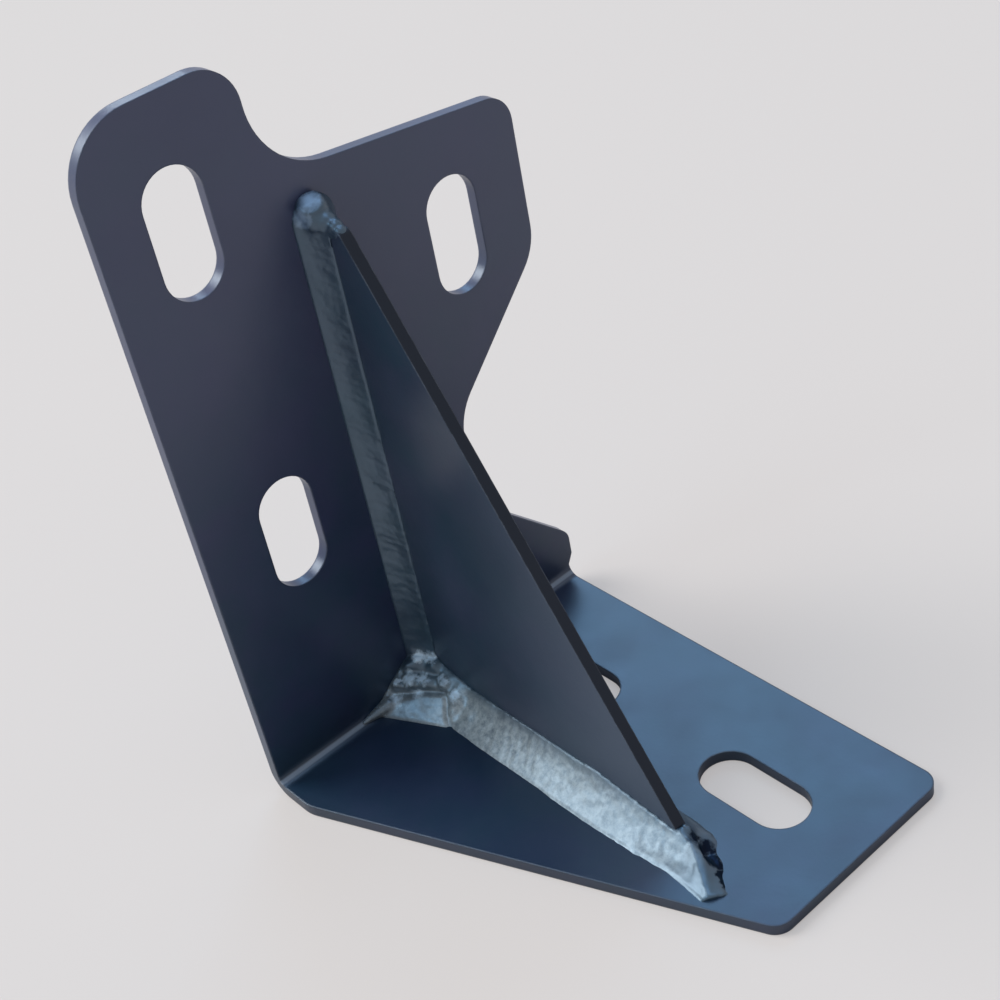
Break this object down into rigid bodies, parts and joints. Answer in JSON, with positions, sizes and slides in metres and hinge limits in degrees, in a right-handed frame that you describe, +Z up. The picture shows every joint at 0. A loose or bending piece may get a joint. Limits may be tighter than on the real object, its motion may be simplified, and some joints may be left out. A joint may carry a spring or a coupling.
{
  "type": "gusseted mounting bracket",
  "caption": "Welded steel angle bracket: a folded, contour-cut plate with slotted bolt holes, stiffened by a triangular gusset fillet-welded into the fold.",
  "frame": {"origin": "middle of the bracket's bounding box on the plane of the base's underside", "axes": "+Z up along the upright leg, the longest extent; the base leg runs forward along -Y from the upright at the back; +X runs along the bend towards the shorter, angled ear"},
  "size_m": [0.1068, 0.125, 0.1768],
  "materials": {
    "painted_plate": "semi-gloss",
    "painted_gusset": "semi-gloss",
    "painted_weld": "semi-gloss"
  },
  "bodies": {
    "root": {"folded_plate": "painted_plate", "gusset": "painted_gusset", "upright_weld": "painted_weld", "base_weld": "painted_weld", "corner_weld": "painted_weld"}
  },
  "joints": []
}
